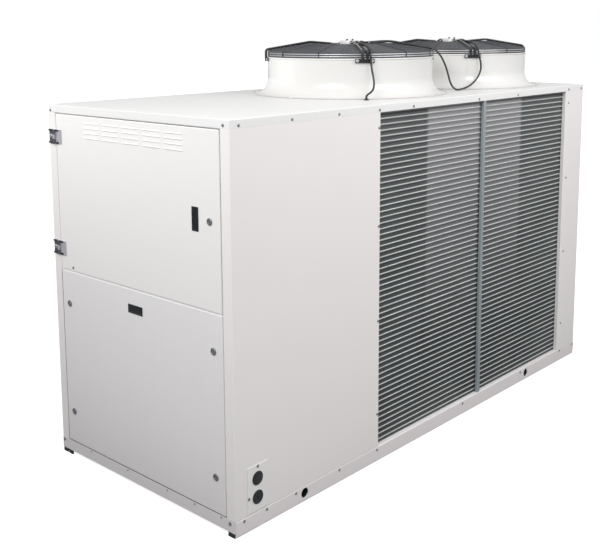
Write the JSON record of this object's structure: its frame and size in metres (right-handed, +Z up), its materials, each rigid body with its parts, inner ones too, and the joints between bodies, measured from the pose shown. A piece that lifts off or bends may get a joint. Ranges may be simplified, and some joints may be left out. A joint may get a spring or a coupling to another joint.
{
  "type": "air cooled water chiller",
  "caption": "Outdoor air cooled water chiller: white steel cabinet, finned coils on its long sides, roof fans in bell mouths under wire guards, hinged control door.",
  "frame": {"origin": "centre of the footprint, on the ground under the base rails", "axes": "+Z up, +Y along the long side from the door end to the rear end, +X to the coil side with the gland plate"},
  "size_m": [1.1052, 2.663, 1.7853],
  "materials": {
    "white_enamel": "satin powder coat",
    "galvanised_steel": "bright galvanised sheet",
    "hinge_metal": "dull zinc",
    "black_plastic": "fine moulded grain",
    "dark_wire_paint": "dark coating on steel wire",
    "coil_fins": "thin fins over copper tubes",
    "motor_grey": "cast and painted",
    "black_cable": "smooth cable sheath"
  },
  "bodies": {
    "cabinet": {"base_rail_left": "white_enamel", "base_rail_right": "white_enamel", "base_cover_front": "white_enamel", "base_cover_back": "white_enamel", "side_panel_front_left": "white_enamel", "side_panel_front_right": "white_enamel", "side_panel_rear_left": "white_enamel", "side_panel_rear_right": "white_enamel", "rear_panel": "white_enamel", "roof_panel": "white_enamel", "access_panel": "white_enamel", "gland_plate": "white_enamel", "fan_1_shroud": "white_enamel", "fan_2_shroud": "white_enamel", "fan_1_motor_cap": "white_enamel", "fan_2_motor_cap": "white_enamel", "floor_pan": "galvanised_steel", "partition": "galvanised_steel", "coil_bar_left": "galvanised_steel", "coil_bar_right": "galvanised_steel", "front_cross_rail": "galvanised_steel", "control_box": "galvanised_steel", "hinge_fixed_upper": "hinge_metal", "hinge_fixed_lower": "hinge_metal", "access_handle": "black_plastic", "gland_plug_upper": "black_plastic", "gland_plug_lower": "black_plastic", "cable_grommet": "black_plastic", "fan_1_guard": "dark_wire_paint", "fan_2_guard": "dark_wire_paint", "fan_1_arms": "dark_wire_paint", "fan_2_arms": "dark_wire_paint", "coil_left": "coil_fins", "coil_right": "coil_fins", "fan_1_motor": "motor_grey", "fan_2_motor": "motor_grey", "fan_cable_1": "black_cable", "fan_cable_2": "black_cable"},
    "door": {"control_door": "white_enamel", "door_handle": "black_plastic", "door_lock": "hinge_metal", "hinge_moving_upper": "hinge_metal", "hinge_moving_lower": "hinge_metal"},
    "fan_rotor_1": {"fan_1_impeller": "black_plastic"},
    "fan_rotor_2": {"fan_2_impeller": "black_plastic"}
  },
  "joints": [
    {"name": "door_hinge", "type": "hinge", "parent": "cabinet", "child": "door", "pos_m": [-0.50755, -1.326, 1.161], "axis": [0, 0, -1], "range_deg": [0, 110]},
    {"name": "fan_spin_1", "type": "hinge", "parent": "cabinet", "child": "fan_rotor_1", "pos_m": [-0.00255, -0.0065, 1.65], "axis": [0, 0, 1], "continuous": true},
    {"name": "fan_spin_2", "type": "hinge", "parent": "cabinet", "child": "fan_rotor_2", "pos_m": [-0.00255, 0.8655, 1.65], "axis": [0, 0, 1], "continuous": true}
  ]
}
